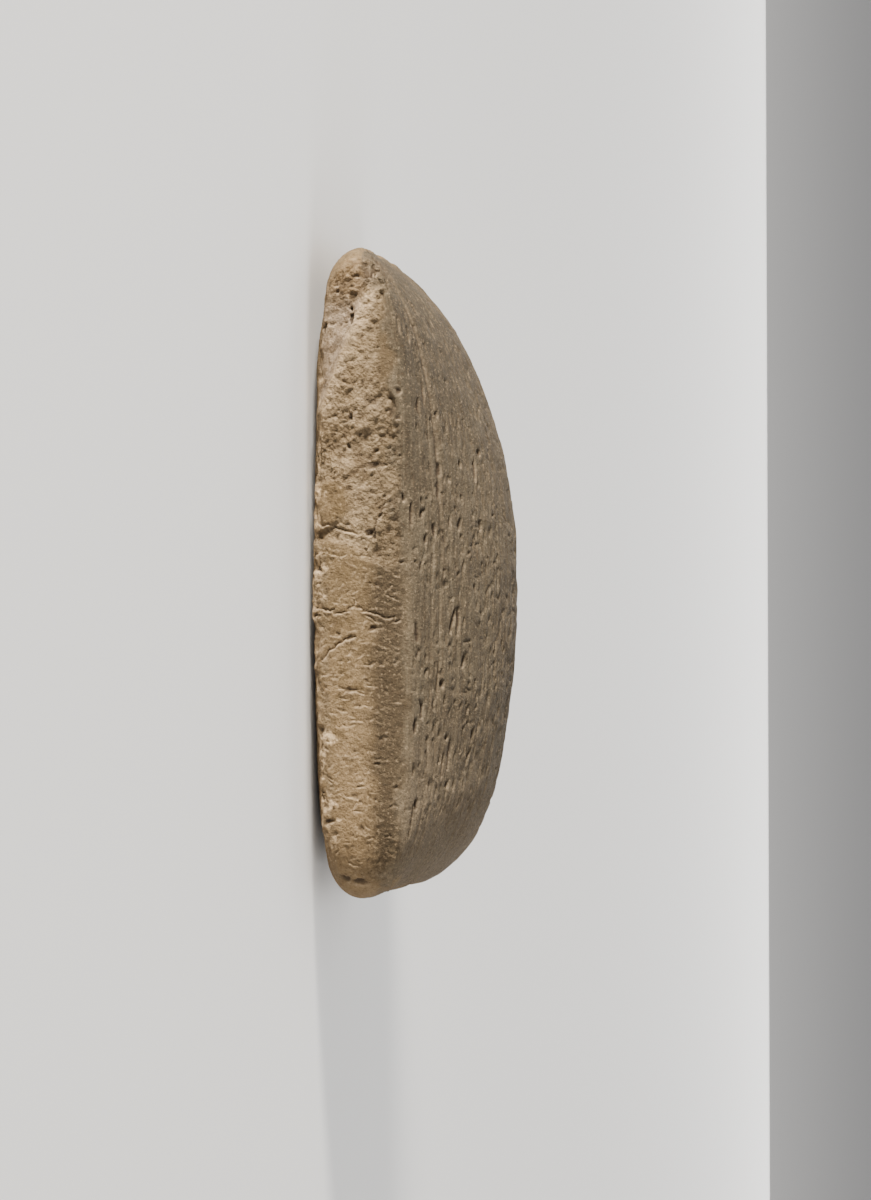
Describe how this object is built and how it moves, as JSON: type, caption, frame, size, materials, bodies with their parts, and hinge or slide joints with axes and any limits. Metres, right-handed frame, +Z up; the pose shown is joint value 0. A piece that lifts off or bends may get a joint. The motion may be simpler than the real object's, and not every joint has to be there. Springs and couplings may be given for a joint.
{
  "type": "clay writing tablet",
  "caption": "Pillow-shaped slab of dried clay, flat on one face and domed on the other, with rows of shallow wedge-ended strokes, two rulings and a chipped long edge.",
  "frame": {"origin": "middle of the flat that the tablet rests on, under the middle of its outline", "axes": "+Y to the tablet's top edge, -X to its chipped right-hand edge, +Z up, out of the domed reverse"},
  "size_m": [0.076, 0.106, 0.0304],
  "materials": {
    "clay": "matt, dry, dirt in the hollows"
  },
  "bodies": {
    "root": {"tablet": "clay"}
  },
  "joints": []
}
